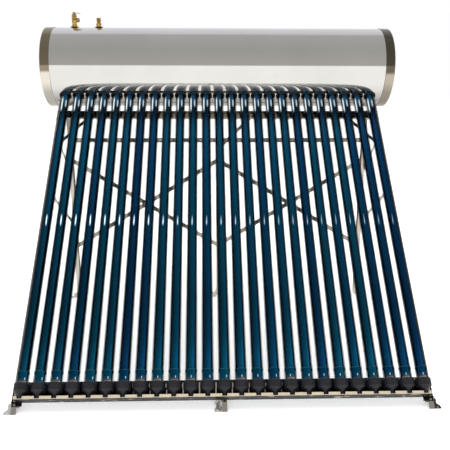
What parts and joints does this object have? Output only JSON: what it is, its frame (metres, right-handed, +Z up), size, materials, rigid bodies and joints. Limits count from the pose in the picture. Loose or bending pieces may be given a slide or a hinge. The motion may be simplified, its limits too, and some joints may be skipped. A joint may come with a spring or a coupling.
{
  "type": "evacuated tube solar water heater",
  "caption": "Horizontal insulated storage tank on a folded steel stand, fed by a sloping row of evacuated heat-pipe tubes held in tail cups along a bottom rail.",
  "frame": {"origin": "on the ground plane, under the middle of the whole object", "axes": "+X along the tank axis, +Y from the tubes towards the tank and rear legs, +Z up; the tubes slope down towards -Y"},
  "size_m": [2.05, 1.67, 1.8096],
  "materials": {
    "shell_steel": "mirror polished stainless sheet",
    "cap_steel": "satin stainless sheet",
    "inner_steel": "mill finish stainless",
    "frame_steel": "bright polished stainless sheet",
    "fastener_steel": "plain stainless fasteners",
    "foam": "rigid polyurethane foam, open cut faces",
    "glass": "clear borosilicate",
    "absorber": "dark blue selective coating",
    "copper": "drawn copper",
    "aluminium": "mill finish foil",
    "black_silicone": "matt moulded silicone",
    "black_plastic": "matt moulded plastic",
    "brass": "turned brass",
    "magnesium": "cast rod",
    "lever_black": "black coated steel",
    "getter": "spring steel"
  },
  "bodies": {
    "stand_and_tank": {"outer_shell": "shell_steel", "left_end_cap": "cap_steel", "right_end_cap": "cap_steel", "insulation_foam": "foam", "inner_tank_barrel": "inner_steel", "inner_tank_heads": "inner_steel", "port_sockets": "inner_steel", "heat_pipe_sleeves": "inner_steel", "heat_pipes": "copper", "heat_fins": "aluminium", "tube_plugs": "black_silicone", "absorber_tubes": "absorber", "outer_glass_tubes": "glass", "getter_clips": "getter", "dust_rings": "black_silicone", "tail_cups": "black_plastic", "tail_rail": "frame_steel", "rail_brackets": "frame_steel", "front_crossbar": "frame_steel", "front_leg_left": "frame_steel", "front_leg_centre": "frame_steel", "front_leg_right": "frame_steel", "rear_leg_left": "frame_steel", "rear_leg_centre": "frame_steel", "rear_leg_right": "frame_steel", "tank_cradle_left": "frame_steel", "tank_cradle_centre": "frame_steel", "tank_cradle_right": "frame_steel", "knee_brace_left": "frame_steel", "knee_brace_centre": "frame_steel", "knee_brace_right": "frame_steel", "rear_tie": "frame_steel", "rear_brace_left_a": "frame_steel", "rear_brace_left_b": "frame_steel", "rear_brace_right_a": "frame_steel", "rear_brace_right_b": "frame_steel", "side_brace_left_upper": "frame_steel", "side_brace_left_lower": "frame_steel", "side_brace_right_upper": "frame_steel", "side_brace_right_lower": "frame_steel", "foot_pivot_bolts": "fastener_steel", "frame_bolts": "fastener_steel", "relief_body": "brass", "relief_bonnet": "brass", "relief_spring": "fastener_steel", "relief_probe": "brass", "port_gaskets": "black_silicone", "outlet_nipple": "brass", "inlet_nipple": "brass", "anode_rod": "magnesium", "anode_plug": "brass"},
    "relief_stem": {"relief_stem": "brass", "relief_lever_pin": "fastener_steel"},
    "relief_lever": {"relief_lever": "lever_black"},
    "foot_front_left": {"foot_front_left": "frame_steel"},
    "foot_front_centre": {"foot_front_centre": "frame_steel"},
    "foot_front_right": {"foot_front_right": "frame_steel"},
    "foot_rear_left": {"foot_rear_left": "frame_steel"},
    "foot_rear_centre": {"foot_rear_centre": "frame_steel"},
    "foot_rear_right": {"foot_rear_right": "frame_steel"}
  },
  "joints": [
    {"name": "relief_lift", "type": "slide", "parent": "stand_and_tank", "child": "relief_stem", "axis": [0, 0, 1], "range_m": [0, 0.00501], "deforming": ["relief_spring"]},
    {"name": "relief_lever_swing", "type": "hinge", "parent": "relief_stem", "child": "relief_lever", "pos_m": [-0.857, 0.59042, 1.80484], "axis": [0, -1, 0], "range_deg": [0, 80]},
    {"name": "foot_front_left_tilt", "type": "hinge", "parent": "stand_and_tank", "child": "foot_front_left", "pos_m": [-0.9475, -0.78016, 0.026], "axis": [1, 0, 0], "range_deg": [-40, 40]},
    {"name": "foot_front_centre_tilt", "type": "hinge", "parent": "stand_and_tank", "child": "foot_front_centre", "pos_m": [-0.0125, -0.78016, 0.026], "axis": [1, 0, 0], "range_deg": [-40, 40]},
    {"name": "foot_front_right_tilt", "type": "hinge", "parent": "stand_and_tank", "child": "foot_front_right", "pos_m": [0.9475, -0.78016, 0.026], "axis": [1, 0, 0], "range_deg": [-40, 40]},
    {"name": "foot_rear_left_tilt", "type": "hinge", "parent": "stand_and_tank", "child": "foot_rear_left", "pos_m": [-0.9475, 0.63842, 0.026], "axis": [1, 0, 0], "range_deg": [-40, 40]},
    {"name": "foot_rear_centre_tilt", "type": "hinge", "parent": "stand_and_tank", "child": "foot_rear_centre", "pos_m": [-0.0125, 0.63842, 0.026], "axis": [1, 0, 0], "range_deg": [-40, 40]},
    {"name": "foot_rear_right_tilt", "type": "hinge", "parent": "stand_and_tank", "child": "foot_rear_right", "pos_m": [0.9475, 0.63842, 0.026], "axis": [1, 0, 0], "range_deg": [-40, 40]}
  ],
  "couplings": [
    {"joint": "relief_lift", "follows": "relief_lever_swing", "m_per_rad": 0.003581}
  ]
}
